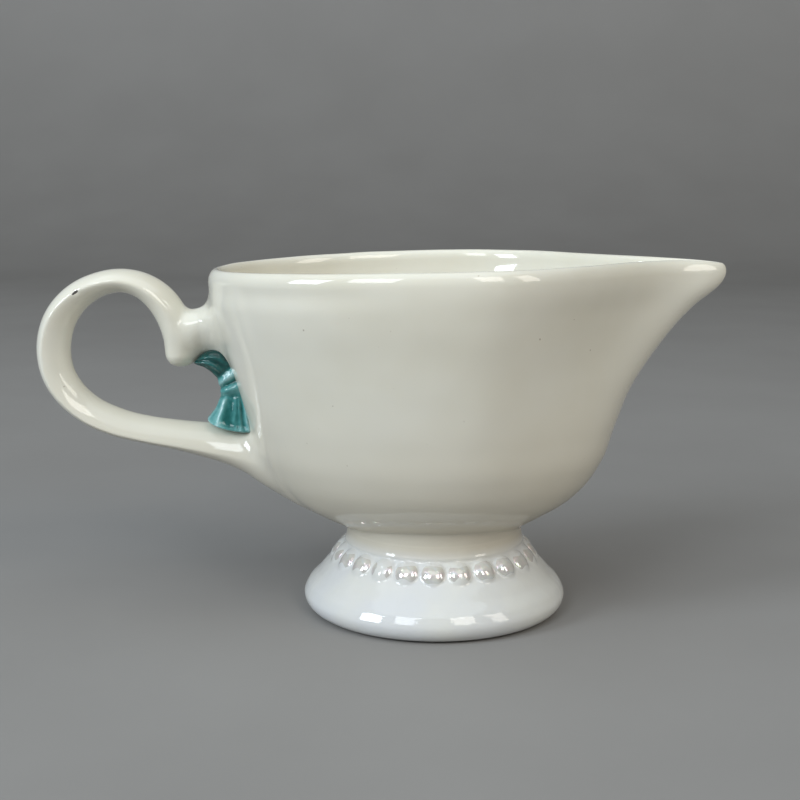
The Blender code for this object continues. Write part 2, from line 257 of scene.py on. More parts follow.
# Each pleat's place and width across the web, as shares from the hole to the wall, and its height.
UPPER_PLEATS = ((0.08, 0.12, 0.5), (0.42, 0.12, 0.7), (0.80, 0.12, 0.6))
LOWER_PLEATS = (
    (0.04, 0.09, 0.8),
    (0.26, 0.12, 1.0),
    (0.68, 0.05, 0.5),
    (0.82, 0.05, 0.5),
    (1.00, 0.07, 0.9),
)
PLEAT_RISE = 0.8
PLEAT_LEVEL = 0.4  # the height on a pleat that keeps the web's own half width
PLEAT_DRIFT = 0.05  # how far the pleats wander across
EDGE_SCALLOP = 0.5  # how much of its height a fold pushes the edge on the finger hole outwards
FAN_OPENS = (0.08, 0.22)  # the pleats open out between these distances from the knot
FAN_CLOSES = (0.90, 0.98)  # and nearly die out into the hem
FAN_LOSS = 0.75
HEM_ROLL = (0.945, 0.025)  # the hem's rolled edge: place and width
HEM_RISE = 0.45
HEM_SAG = 0.9  # how much lower the hem hangs in its middle
HEM_SAG_PLACES = (0.75, 0.95)
HEM_END = (0.94, 0.06)  # where the web starts to close at its end, and over what length
# The glaze's lightness from 0 to 1 off the pleats, and what a valley takes and a crest adds: part pooling,
# part painted shade and light.
PLAIN_SHADE = 0.70
# The upper fan's valleys are darker, as painted shade under the bridge.
UPPER_SHADE = (0.64, 0.34)
LOWER_SHADE = (0.40, 0.62)
# Painted highlight on the knot's upper roll, painted shade in the tucks and painted light on the hem's roll.
ROLL_PAINTED_HIGHLIGHT = 0.20
TUCK_SHADE = 0.5
HEM_PAINTED_LIGHT = 0.16


def hermite(knots, values, at):
    """A smooth curve through the knots: cubic, with each slope taken from its neighbours."""
    knots = np.asarray(knots, float)
    values = np.asarray(values, float)
    steps = np.diff(knots)
    rises = np.diff(values) / steps
    slopes = np.empty_like(values)
    slopes[1:-1] = (rises[:-1] * steps[1:] + rises[1:] * steps[:-1]) / (steps[1:] + steps[:-1])
    slopes[0] = rises[0]
    slopes[-1] = rises[-1]
    at = np.clip(np.asarray(at, float), knots[0], knots[-1])
    left = np.clip(np.searchsorted(knots, at) - 1, 0, len(steps) - 1)
    step = steps[left]
    t = (at - knots[left]) / step
    rise = values[left + 1] - values[left]
    bend_in = slopes[left] * step - rise
    bend_out = rise - slopes[left + 1] * step
    return values[left] + t * rise + t * (1 - t) * ((1 - t) * bend_in + t * bend_out)


def along(points, count):
    """Points spaced evenly along the smooth curve through the given ones, in every column."""
    points = np.asarray(points, float)
    runs = np.hypot(*np.diff(points[:, :2], axis=0).T)
    knots = np.concatenate([[0], np.cumsum(runs)])
    at = np.linspace(0, knots[-1], count)
    return np.column_stack([hermite(knots, column, at) for column in points.T])


def smooth_step(value, low, high):
    t = np.clip((value - low) / (high - low), 0, 1)
    return t**3 * (10 - 15 * t + 6 * t * t)


def blend(a, b, width):
    """The lesser of a and b, with the corner between them rounded over the width."""
    near = np.maximum(width - np.abs(a - b), 0) / width
    return np.minimum(a, b) - near**3 * width / 6


def bump(value, middle, width):
    return np.exp(-(((value - middle) / width) ** 2))


def waviness(points):
    """The slight unevenness of a cast and glazed surface, as a height at each point."""
    waves = (
        ((0.31, 0.12, 0.17), 0.4, 0.022),
        ((-0.14, 0.27, 0.24), 2.1, 0.020),
        ((0.22, -0.33, 0.38), 4.0, 0.014),
        ((-0.45, -0.21, 0.30), 1.2, 0.009),
        ((0.16, 0.52, -0.33), 5.2, 0.008),
        ((0.62, 0.14, 0.41), 3.3, 0.006),
    )
    return sum(height * np.sin(points @ np.array(turn) + start) for turn, start, height in waves)


# ---- the bowl ----


def foot_radius(z):
    """The radius of the foot's outside at the height z."""
    profile = along(FOOT_OUTSIDE, 200)
    return np.interp(z, profile[:, 1], profile[:, 0])


def wall_reaches(z):
    """The oval's outside at the heights z: reach to the spout, handle and side, and the nose."""
    spout, handle, nose = (hermite(BOWL_LEVELS[:, 0], column, z) for column in BOWL_LEVELS.T[1:])
    below = np.maximum(BOWL_BASE_Z - z, 0) * WAIST_SLOPE
    return [spout - below, handle - below, BOWL_ASPECT * handle - below, nose]


def inside_reaches(z):
    """The same for the bowl's inside, a wall's thickness in from the outside."""
    knots, spouts, handles, noses = BOWL_LEVELS.T
    dense = np.linspace(BOWL_BASE_Z, RIM_HEIGHT, 300)
    tip_wall = TIP_WALL * smooth_step(dense, TIP_WALL_LOW, RIM_HEIGHT)
    reaches = []
    for column, extra in ((spouts, tip_wall), (handles, 0), (BOWL_ASPECT * handles, 0)):
        outside = hermite(knots, column, dense)
        run = np.gradient(outside)
        rise = np.gradient(dense)
        length = np.hypot(run, rise)
        thickness = WALL + extra
        reaches.append(np.interp(z, dense + thickness * run / length, outside - thickness * rise / length))
    return [*reaches, (1 + NOSE_TIGHTEN / noses[-1]) * hermite(knots, noses, z)]


def outline(angles, reaches, z):
    """One outline of the bowl: an ellipse towards the handle and a drawn-out one towards the spout."""
    spout, handle, side, nose = reaches
    reach = np.where(np.cos(angles) > 0, spout, handle)
    squeeze = 1 - nose * (1 - smooth_step(np.abs(angles), NOSE_START, NOSE_END))
    y = side * np.sin(angles) * squeeze
    return np.column_stack([reach * np.cos(angles), y, np.full_like(angles, z)])


def with_neck(ring, z):
    """The ring widened to the round neck, which comes out of the foot's glaze and runs up to the oval."""
    over_foot = SEAM_DEPTH * (2 * smooth_step(z, *NECK_RISES) - 1)
    neck = foot_radius(min(z, BOWL_BASE_Z)) + over_foot
    reach = np.hypot(*ring[:, :2].T)
    ring[:, :2] *= (-blend(-reach, -neck, WAIST_FILLET) / reach)[:, None]
    return ring


def rim_drop(x, z):
    """How much lower than z the wall lies near the rim, which dips to the handle and the spout's point."""
    to_handle = np.maximum(RIM_CREST_X - x, 0) / RIM_DIP_RUN
    to_tip = np.maximum(x - RIM_CREST_X, 0) / TIP_DIP_RUN
    fade = smooth_step(z, RIM_DIP_LOW, RIM_HEIGHT)
    return fade * (RIM_DIP * to_handle**2 + TIP_DIP * to_tip**4)


def wall_ring(angles, z, across):
    """A ring at height z, from the outside at across 0 to the inside at 1, before the rim's dip."""
    ring = outline(angles, wall_reaches(np.float64(z)), z)
    if across > 0:
        ring = ring * (1 - across) + outline(angles, inside_reaches(np.float64(z)), z) * across
    return with_neck(ring, z) if z < NECK_TOP_Z and across == 0 else ring


def off_bowl(points):
    """Distance from the bowl's outside, on its handle half."""
    x, y, z = points.T
    level = z.copy()
    for _ in range(4):  # the level before the rim's dip settles within these rounds
        level = z + rim_drop(x, level)
    step = 0.1
    _, handle, side, _ = wall_reaches(level)
    _, handle_up, side_up, _ = wall_reaches(level + step)
    share_x = (x / handle) ** 2
    share_y = (y / side) ** 2
    size = np.sqrt(share_x + share_y) + 1e-9
    slope_x = x / handle**2 / size
    slope_y = y / side**2 / size
    slope_z = (share_x * (handle_up - handle) / handle + share_y * (side_up - side) / side) / step / size
    return (size - 1) / np.sqrt(slope_x**2 + slope_y**2 + slope_z**2)


def pad_height(points):
    """How far the handle's leaf-shaped pad stands proud of the bowl."""
    half_width = hermite(*np.array(PAD).T, points[:, 2])
    outside = np.abs(points[:, 1]) - half_width
    rise = 1 - smooth_step(outside, *PAD_EDGE)
    top = 1 - smooth_step(points[:, 2], *PAD_TOP)
    bottom = smooth_step(points[:, 2], *PAD_BOTTOM)
    return np.where(points[:, 0] < 0, PAD_RISE * rise * top * bottom, 0)


def groove_depth(points):
    """How far the outside draws in under the rolled lip at the handle."""
    rim = RIM_HEIGHT - rim_drop(points[:, 0], RIM_HEIGHT)
    groove = bump(points[:, 2], rim - LIP_GROOVE_FALL, LIP_GROOVE_WIDTH)
    return LIP_GROOVE * groove * (1 - smooth_step(points[:, 0], *LIP_GROOVE_FADE))


def gradient(field, points, step=0.02):
    """How fast the field rises at each point, along x, y and z."""
    slopes = []
    for axis in np.eye(3) * step:
        slopes.append((field(points + axis) - field(points - axis)) / (2 * step))
    return np.column_stack(slopes)


def grid_faces(rows, around):
    """Quads over rows of points that close on themselves."""
    row, place = np.meshgrid(np.arange(rows - 1), np.arange(around), indexing="ij")
    start = row * around + place
    beside = row * around + (place + 1) % around
    return np.stack([start, beside, beside + around, start + around], -1).reshape(-1, 4)


def closed_grid(rings):
    """Points, quads and end triangles of a body through rings, with its ends drawn to their middles."""
    rows, around = rings.shape[:2]
    points = rings.reshape(-1, 3)
    faces = [tuple(face) for face in grid_faces(rows, around)]
    for middle, row in ((len(points), 0), (len(points) + 1, rows - 1)):
        for i in range(around):
            corners = (row * around + i, row * around + (i + 1) % around, middle)
            faces.append(corners[::-1] if row == 0 else corners)
    return np.vstack([points, rings[0].mean(axis=0), rings[-1].mean(axis=0)]), faces


def ring_normals(rings):
    """Outward normals of a grid of rings, each running from +X to +Y."""
    round_ring = np.roll(rings, -1, axis=1) - np.roll(rings, 1, axis=1)
    up = np.gradient(rings, axis=0)
    normals = np.cross(round_ring, up)
    return normals / (np.linalg.norm(normals, axis=2, keepdims=True) + 1e-12)


def bowl_stations():
    """Each ring's height before the rim's dip, and its place across the wall: up, over the lip and down."""
    stations = [(z, 0.0) for z in [*NECK_ROWS, *WALL_ROWS]]
    for t in LIP_TURNS:
        z = RIM_HEIGHT - LIP_FALL_OUTSIDE + LIP_FALL_OUTSIDE * math.sin(t)
        stations.append((z, LIP_CREST * (1 - math.cos(t))))
    for t in LIP_TURNS[1:]:
        z = RIM_HEIGHT - LIP_FALL_INSIDE * (1 - math.cos(t))
        stations.append((z, LIP_CREST + (1 - LIP_CREST) * math.sin(t)))
    return stations + [(z, 1.0) for z in INSIDE_ROWS]


def bowl_rings():
    """The bowl from the neck, up the outside, over the lip, down the inside and across the floor."""
    turn = np.linspace(-math.pi, math.pi, BOWL_AROUND, endpoint=False)
    angles = turn - BOWL_CROWDING * np.sin(2 * turn)
    stations = bowl_stations()
    rings = [wall_ring(angles, z, across) for z, across in stations]
    edge, above = rings[-1], rings[-2]
    slope = (above[0, 2] - edge[0, 2]) / (np.hypot(*above[:, :2].T) - np.hypot(*edge[:, :2].T)).mean()
    power = slope * np.hypot(*edge[:, :2].T).mean() / (FLOOR_EDGE_Z - BOWL_FLOOR_Z)
    for share in FLOOR_SHARES:
        ring = edge * (share, share, 1)
        ring[:, 2] = BOWL_FLOOR_Z + (FLOOR_EDGE_Z - BOWL_FLOOR_Z) * share**power
        rings.append(ring)
    rings = np.array(rings)
    rings[..., 2] -= rim_drop(rings[..., 0], rings[..., 2])
    flat = rings.reshape(-1, 3)
    on_outside = [across < LIP_CREST for _, across in stations] + [False] * len(FLOOR_SHARES)
    outside = np.repeat(on_outside, BOWL_AROUND)
    lift = waviness(flat) + (pad_height(flat) - groove_depth(flat)) * outside
    return rings + ring_normals(rings) * lift.reshape(*rings.shape[:2], 1)


# ---- the handle ----


def strap_line():
    """The strap's centre line with its section's measures, its headings and its outward normals."""
    line = along(STRAP, STRAP_SAMPLES)
    heading = np.gradient(line[:, :2], axis=0)
    heading /= np.hypot(*heading.T)[:, None]
    outward = np.column_stack([heading[:, 1], -heading[:, 0]])
    return line, heading, outward


LINE, HEADING, OUTWARD = strap_line()
LINE_STEP = np.hypot(*np.diff(LINE[:, :2], axis=0).T).mean()


def chip_place():
    """The middle of the small chip, on the near edge of the strap where it is widest."""
    at = int(CHIP_PLACE * STRAP_SAMPLES)
    x, z = LINE[at, :2] + OUTWARD[at] * LINE[at, 2] * (0.5 - LINE[at, 4])
    return np.array((x, -HANDLE_WIDTH / 2, z))


CHIP = chip_place()


def nearest_on_strap(x, z):
    """Where each point lies against the centre line: out of the loop, past the scroll's tip, and the
    strap's thickness, width, edge place and edge power there. It takes the points a batch at a time."""
    batch = 20000
    found = []
    for start in range(0, len(x), batch):
        px = x[start : start + batch]
        pz = z[start : start + batch]
        near = np.argmin((px[:, None] - LINE[:, 0]) ** 2 + (pz[:, None] - LINE[:, 1]) ** 2, axis=1)
        ahead = (px - LINE[near, 0]) * HEADING[near, 0] + (pz - LINE[near, 1]) * HEADING[near, 1]
        left = np.clip(near - (ahead < 0), 0, len(LINE) - 2)
        ends = []
        for i in (left, left + 1):
            ends.append((px - LINE[i, 0]) * HEADING[i, 0] + (pz - LINE[i, 1]) * HEADING[i, 1])
        t = np.clip(ends[0] / (ends[0] - ends[1] + 1e-12), 0, 1)
        t3 = t * t * (3 - 2 * t)
        sag = LINE_STEP * (t * (1 - t) ** 2)[:, None] * HEADING[left]
        sag = sag - LINE_STEP * (t * t * (1 - t))[:, None] * HEADING[left + 1]
        spot = LINE[left, :2] * (1 - t3)[:, None] + LINE[left + 1, :2] * t3[:, None] + sag
        normal = OUTWARD[left] * (1 - t)[:, None] + OUTWARD[left + 1] * t[:, None]
        normal /= np.hypot(*normal.T)[:, None]
        out = (px - spot[:, 0]) * normal[:, 0] + (pz - spot[:, 1]) * normal[:, 1]
        past = np.where(left == 0, np.maximum(-ends[0], 0), 0)
        sizes = LINE[left, 2:] * (1 - t)[:, None] + LINE[left + 1, 2:] * t[:, None]
        found.append(np.column_stack([out, past, sizes]))
    return np.vstack(found)


def off_section(out, past, thickness, width, edge, power, y):
    """Distance from the strap's D-shaped section, rounded past the scroll's tip."""
    from_edge = out - thickness * (0.5 - edge)
    depth = np.where(from_edge > 0, thickness * edge, thickness * (1 - edge))
    a = np.abs(from_edge) / depth + 1e-9
    b = np.abs(y) / (width / 2) + 1e-9
    c = past / (thickness / 2) + 1e-9
    level = a**power + b**FACE_POWER + c**2
    root = np.sqrt(level)
    slope_a = power * a ** (power - 1) / depth
    slope_b = FACE_POWER * b ** (FACE_POWER - 1) / (width / 2)
    slope_c = 2 * c / (thickness / 2)
    slope = np.sqrt(slope_a**2 + slope_b**2 + slope_c**2) / (2 * root)
    return np.maximum((root - 1) / (slope + 1e-9), -0.5 * thickness)


def off_bridge(points):
    """Distance from the bridge's oval section, which tapers to its underside."""
    x, y, z = points.T
    knots, *columns = np.array(BRIDGE).T
    middle, half_height, half_width = (hermite(knots, column, x) for column in columns)
    a = (z - middle) / half_height
    half_width = half_width * (1 + BRIDGE_TAPER * np.clip(a, -1, BRIDGE_SHOULDER))
    b = y / half_width
    size = np.sqrt(a * a + b * b) + 1e-9
    across = (size - 1) * size / np.sqrt((a / half_height) ** 2 + (b / half_width) ** 2 + 1e-12)
    return np.maximum(across, BRIDGE[0][0] - x)


def off_handle(points, strap=None):
    """Distance from the handle with its fairing, which runs out just under the bowl's glaze."""
    if strap is None:
        strap = nearest_on_strap(points[:, 0], points[:, 2])
    body = blend(off_section(*strap.T, points[:, 1]), off_bridge(points), SCROLL_BLEND)
    bowl = off_bowl(points)
    glaze = pad_height(points) - groove_depth(points)
    seam = bowl - glaze + SEAM_DEPTH + SEAM_CLIMB * np.maximum(body - BOWL_BLEND, 0)
    chip = CHIP_DEPTH * bump(np.linalg.norm(points - CHIP, axis=1), 0, CHIP_RADIUS)
    return np.maximum(blend(body, seam, BOWL_BLEND) + chip - waviness(points), -ROOT_DEPTH - bowl)


def surface_net(field, low, step):
    """Points and quads of the zero surface of a field sampled on a grid."""
    inside = field < 0
    cells = tuple(n - 1 for n in field.shape)
    corners = [(i, j, k) for i in (0, 1) for j in (0, 1) for k in (0, 1)]

    def at(grid, corner):
        return grid[tuple(slice(c, c + n) for c, n in zip(corner, cells))]

    filled = sum(at(inside, corner).astype(np.int8) for corner in corners)
    crossed = (filled > 0) & (filled < 8)
    number = np.full(cells, -1)
    number[crossed] = np.arange(crossed.sum())
    total = np.zeros((crossed.sum(), 3))
    count = np.zeros(crossed.sum())
    for axis in range(3):
        for corner in (c for c in corners if c[axis] == 0):
            other = tuple(c + (i == axis) for i, c in enumerate(corner))
            here, there = at(field, corner)[crossed], at(field, other)[crossed]
            cut = (here < 0) != (there < 0)
            spot = np.tile(np.array(corner, float), (len(here), 1))
            spot[:, axis] = np.where(cut, here / np.where(cut, here - there, 1), 0)
            total += spot * cut[:, None]
            count += cut
    points = low + (np.argwhere(crossed) + total / count[:, None]) * step
    faces = []
    for axis in range(3):
        u, v = (axis + 1) % 3, (axis + 2) % 3
        first = np.take(inside, range(cells[axis]), axis)
        second = np.take(inside, range(1, cells[axis] + 1), axis)
        for turned in (False, True):
            edges = np.argwhere((~first & second) if turned else (first & ~second))
            in_u = (edges[:, u] > 0) & (edges[:, u] < cells[u])
            in_v = (edges[:, v] > 0) & (edges[:, v] < cells[v])
            edges = edges[in_u & in_v]
            loop = []
            for du, dv in ((0, 0), (-1, 0), (-1, -1), (0, -1)):
                cell = edges.copy()
                cell[:, u] += du
                cell[:, v] += dv
                loop.append(number[tuple(cell.T)])
            loop = np.column_stack(loop)
            faces.append(loop[:, ::-1] if turned else loop)
    return points, np.vstack(faces)


def handle_net():
    """The handle's points, quads and normals, each point pulled from the net onto the true surface."""
    low = np.array(HANDLE_LOW)
    counts = ((np.array(HANDLE_HIGH) - low) / GRID_STEP).astype(int) + 1
    x, y, z = (low[i] + GRID_STEP * np.arange(counts[i]) for i in range(3))
    plane = np.stack(np.meshgrid(x, z, indexing="ij"), -1).reshape(-1, 2)
    strap = nearest_on_strap(*plane.T)
    field = np.empty(counts)
    for j, side in enumerate(y):
        points = np.column_stack([plane[:, 0], np.full(len(plane), side), plane[:, 1]])
        field[:, j] = off_handle(points, strap).reshape(len(x), len(z))
    points, faces = surface_net(field, low, GRID_STEP)
    for _ in range(3):
        slope = gradient(off_handle, points)
        steepness = np.maximum((slope**2).sum(axis=1), 0.05)
        move = off_handle(points) / steepness
        points = points - slope * np.clip(move, -GRID_STEP, GRID_STEP)[:, None]
    slope = gradient(off_handle, points, GRID_STEP / 2)
    return points, faces, slope / (np.linalg.norm(slope, axis=1, keepdims=True) + 1e-12)


# ---- the bow ----


def pleat(share, pleats):
    """How high the folds stand at a share of the way across, from 0 in a valley to 1."""
    return np.clip(sum(height * bump(share, place, width) for place, width, height in pleats), 0, 1)


def bow_rings():
    """Sections of the pleated web across its run, and how light the glaze is at each point, painted shade
    and light included.
    """
    middles = [((a + c) / 2, (b + d) / 2) for a, b, c, d, _ in BOW]
    line = along(np.column_stack([middles, BOW]), BOW_STATIONS)
    turns = np.linspace(0, 2 * math.pi, BOW_AROUND, endpoint=False)
    power = 2 / BOW_SQUARENESS
    across = np.sign(np.cos(turns)) * np.abs(np.cos(turns)) ** power
    sideways = np.sign(np.sin(turns)) * np.abs(np.sin(turns)) ** power
    end, end_run = HEM_END
    rings, shades = [], []
    for s, (*_, hole_x, hole_z, wall_x, wall_z, half_width) in zip(np.linspace(0, 1, BOW_STATIONS), line):
        hole = np.array((hole_x, hole_z))
        wall = np.array((wall_x, wall_z))
        span = np.hypot(*(wall - hole))
        way = (wall - hole) / span
        depth = np.interp(s, BOW_DEPTH_PLACES, BOW_DEPTH)
        place = (across + 1) / 2 * (span + depth)  # in from the hole's edge
        if s < KNOT_WAIST:
            pleats, (valley, crest) = UPPER_PLEATS, UPPER_SHADE
        else:
            pleats, (valley, crest) = LOWER_PLEATS, LOWER_SHADE
        fan = smooth_step(abs(s - KNOT_WAIST), *FAN_OPENS) * (1 - FAN_LOSS * smooth_step(s, *FAN_CLOSES))
        fold = pleat(place / span + PLEAT_DRIFT * np.sin(9 * s + 0.6), pleats) * fan
        knot = sum(bump(s, roll, KNOT_WIDTH) for roll in KNOT_ROLLS)
        tuck = sum(share * bump(s, middle, width) for middle, width, share in TUCKS)
        hem = bump(s, *HEM_ROLL)
        lift = (fold - PLEAT_LEVEL * fan) * PLEAT_RISE + KNOT_RISE * knot
        lift = lift - TUCK_DEPTH * tuck + HEM_RISE * hem
        closing = math.sqrt(np.clip(1 - ((s - end) / end_run) ** 2, 0.02, 1)) if s > end else 1.0
        y = sideways * (half_width * closing + lift)
        push = -(1 - np.abs(sideways)) * lift * EDGE_SCALLOP * (across < 0)
        sag = HEM_SAG * smooth_step(s, *HEM_SAG_PLACES) * (1 - across**2)
        x = hole[0] + way[0] * (place + push)
        rings.append(np.column_stack([x, y, hole[1] + way[1] * (place + push) - sag]))
        # The glaze's lightness, with painted shade in valleys and tucks and painted light on crests, the
        # upper roll and the hem.
        shade = PLAIN_SHADE - valley * fan + crest * fold
        shade += ROLL_PAINTED_HIGHLIGHT * bump(s, KNOT_ROLLS[0], KNOT_WIDTH) - TUCK_SHADE * tuck + HEM_PAINTED_LIGHT * hem
        shades.append(np.clip(shade, 0, 1))
    return np.array(rings), np.array(shades)


# ---- the foot and its pearls ----


def foot_profile():
    """The foot's outside with a ledge in the glaze over the pearls, its underside, and the outward ways."""
    outside = along(FOOT_OUTSIDE, FOOT_OUTSIDE_ROWS)
    slope = np.gradient(outside, axis=0)
    slope /= np.hypot(*slope.T)[:, None]
    out = np.column_stack([slope[:, 1], -slope[:, 0]])
    z = outside[:, 1]
    ledge = smooth_step(z, PEARL_LEDGE_Z - PEARL_LEDGE_DROP, PEARL_LEDGE_Z)
    inset = smooth_step(z, *PEARL_BAND_Z) * (1 - ledge)
    outside = outside - PEARL_LEDGE_DEPTH * inset[:, None] * out
    return outside, along(FOOT_UNDERSIDE, FOOT_UNDERSIDE_ROWS), out


def pearl_height(distance, size):
    """How far a pearl stands out of the foot's glaze at a distance from its middle."""
    dome = size * PEARL_RISE * (1 - (distance / PEARL_RADIUS) ** PEARL_ROUNDNESS)
    return -blend(-dome, np.zeros_like(dome), PEARL_FILLET)


def pearl_places():
    """Each pearl's name, turn, level as a row of the foot's outside, and size."""
    outside, _, _ = foot_profile()
    for name in sorted(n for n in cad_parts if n.startswith("pearl_")):
        low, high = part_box(name)
        middle = (low + high) / 2 - AXIS
        turn = math.atan2(middle.y, middle.x)
        level = int(np.argmin(np.abs(outside[:, 1] - middle.z / MM + PEARL_DROP)))
        drowned = PEARL_DROWNED * smooth_step(abs(turn + math.pi / 2), *PEARL_DROWNED_TURNS)
        yield name, turn, level, 1 + PEARL_UNEVENNESS * math.sin(int(name[-2:]) * 5.1) - drowned


def foot_rings():
    """The foot's glaze, with a swelling for each pearl."""
    outside, underside, _ = foot_profile()
    turns = np.linspace(-math.pi, math.pi, FOOT_AROUND, endpoint=False)
    radii, heights = np.vstack([underside, outside[1:]]).T[:, :, None]
    rings = np.stack([radii * np.cos(turns), radii * np.sin(turns), heights + 0 * turns], -1)
    lift = waviness(rings.reshape(-1, 3)).reshape(rings.shape[:2])
    lift[rings[..., 2] < FOOT_FLAT_Z] = 0
    run = np.concatenate([[0], np.cumsum(np.hypot(*np.diff(outside, axis=0).T))])
    swelling = np.zeros((len(outside), len(turns)))
    for _, turn, level, size in pearl_places():
        beside = outside[:, :1] * ((turns - turn + math.pi) % (2 * math.pi) - math.pi)
        distance = np.hypot(beside, (run - run[level])[:, None])
        swelling = np.maximum(swelling, np.where(distance < PEARL_REACH, pearl_height(distance, size), 0))
    lift[len(underside) :] += swelling[1:]
    return rings + ring_normals(rings) * lift[..., None]


def pearl_rings(size):
    """The lustred cap of a pearl, a hair above the glaze and turned under at its edge."""
    turns = np.linspace(0, 2 * math.pi, PEARL_CAP_AROUND, endpoint=False)
    rings = [(PEARL_CAP, -0.8), (PEARL_CAP, -0.05)]
    rings += [(share, PEARL_CAP_LIFT) for share in np.linspace(PEARL_CAP - 0.02, 0.03, PEARL_CAP_ROWS)]
    made = []
    for share, over in rings:
        reach = share * PEARL_RADIUS
        height = pearl_height(np.float64(reach), size) + over
        made.append(np.column_stack([reach * np.cos(turns), reach * np.sin(turns), 0 * turns + height]))
    return np.array(made)


# ---- materials ----

# Painted shade: the ivory is darkened and warmed towards the bottom, for the shade on the bowl's lower front
# and underside.
LOW_SHADE_IVORY = (0.645, 0.602, 0.502)
LOW_SHADE_HEIGHTS = (0.024, 0.060)  # metres: the painted shade is full below the first and gone above the second
FLARE_HEIGHTS = (0.0165, 0.0195)  # metres: the foot's cool tint, part lustre and part painted sky light on its upward flare, fades out between these
SPECK = (0.52, 0.47, 0.38)
CHIP_COLOUR = (0.07, 0.06, 0.05)
CHIP_ROUGHNESS = (0.7, 0.7, 0.7)
CHIP_STRETCH = (0.9, 0.6, 2.6)  # a larger number makes it narrower that way
CHIP_RAGGEDNESS = 0.0009  # metres, as is its edge
CHIP_EDGE = (0.0011, 0.0014)


def new_material(name):
    made = bpy.data.materials.new(name)
    made.use_nodes = True
    return made, made.node_tree, made.node_tree.nodes["Principled BSDF"]


def node(tree, kind, **settings):
    """A new node, with each setting put on the input of that name or on the node itself."""
    made = tree.nodes.new(kind)
    for key, value in settings.items():
        if key in made.inputs:
            made.inputs[key].default_value = value
        else:
            setattr(made, key, value)
    return made


def noise(tree, scale, detail=2.0, distortion=0.0):
    """Noise in the piece's own space; scale counts features to the metre."""
    place = node(tree, "ShaderNodeTexCoord")
    made = node(tree, "ShaderNodeTexNoise", Scale=scale, Detail=detail, Distortion=distortion)
    tree.links.new(place.outputs["Object"], made.inputs["Vector"])
    return made.outputs["Fac"]


def ramp(tree, value, *stops):
    """A colour ramp over the value, through stops of (place, colour)."""
    made = tree.nodes.new("ShaderNodeValToRGB")
    elements = made.color_ramp.elements
    while len(elements) < len(stops):
        elements.new(0.5)
    for element, (place, colour) in zip(elements, stops):
        element.position = place
        element.color = (*colour, 1.0)
    tree.links.new(value, made.inputs["Fac"])
    return made.outputs["Color"]


def to_range(tree, value, low, high, from_low=0.3, from_high=0.7):
    """The value drawn out from one range to another, and clamped; noise mostly lies between 0.3 and 0.7."""
    made = node(tree, "ShaderNodeMapRange")
    for key, number in (("From Min", from_low), ("From Max", from_high), ("To Min", low), ("To Max", high)):
        made.inputs[key].default_value = number
    tree.links.new(value, made.inputs["Value"])
    return made.outputs["Result"]


def mix(tree, share, first, second):
    """A mix of two colours, each a node's output or a plain colour."""
    made = node(tree, "ShaderNodeMix", data_type="RGBA")
    tree.links.new(share, made.inputs["Factor"])
    for socket, value in ((made.inputs[6], first), (made.inputs[7], second)):
        if isinstance(value, bpy.types.NodeSocket):
            tree.links.new(value, socket)
        else:
            socket.default_value = (*value, 1.0)
    return made.outputs[2]


def add_bump(tree, shader, *layers):
    """Height layers of (value, depth in metres), the last on top."""
    normal = None
    for value, depth in layers:
        made = node(tree, "ShaderNodeBump", Strength=1.0, Distance=depth)
        tree.links.new(value, made.inputs["Height"])
        if normal:
            tree.links.new(normal, made.inputs["Normal"])
        normal = made.outputs["Normal"]
    tree.links.new(normal, shader.inputs["Normal"])


def set_glaze(shader):
    shader.inputs["IOR"].default_value = 1.56
    shader.inputs["Subsurface Weight"].default_value = 0.06
    shader.inputs["Subsurface Radius"].default_value = (1.0, 0.85, 0.6)
    shader.inputs["Subsurface Scale"].default_value = 0.0012


def piece_height(tree):
    """The height above the table on a piece that stands at the foot's axis, in metres."""
    place = node(tree, "ShaderNodeTexCoord")
    axes = node(tree, "ShaderNodeSeparateXYZ")
    tree.links.new(place.outputs["Object"], axes.inputs["Vector"])
    return axes.outputs["Z"]


def chip_mask(tree, chip):
    """White on a small ragged chip in the handle's edge, stretched along it, and black elsewhere."""
    place = node(tree, "ShaderNodeTexCoord")
    off = node(tree, "ShaderNodeVectorMath", operation="SUBTRACT")
    off.inputs[1].default_value = chip
    tree.links.new(place.outputs["Object"], off.inputs[0])
    tilt = node(tree, "ShaderNodeVectorRotate", rotation_type="Y_AXIS", Angle=CHIP_TILT)
    tree.links.new(off.outputs["Vector"], tilt.inputs["Vector"])
    size = node(tree, "ShaderNodeVectorMath", operation="MULTIPLY")
    size.inputs[1].default_value = CHIP_STRETCH
    tree.links.new(tilt.outputs["Vector"], size.inputs[0])
    length = node(tree, "ShaderNodeVectorMath", operation="LENGTH")
    tree.links.new(size.outputs["Vector"], length.inputs[0])
    ragged = node(tree, "ShaderNodeMath", operation="MULTIPLY_ADD")
    tree.links.new(noise(tree, 1400, 3), ragged.inputs[0])
    ragged.inputs[1].default_value = CHIP_RAGGEDNESS
    tree.links.new(length.outputs["Value"], ragged.inputs[2])
    near_chip = to_range(tree, ragged.outputs["Value"], 1.0, 0.0, *CHIP_EDGE)
    return ramp(tree, near_chip, (0, (0, 0, 0)), (1, (1, 1, 1)))


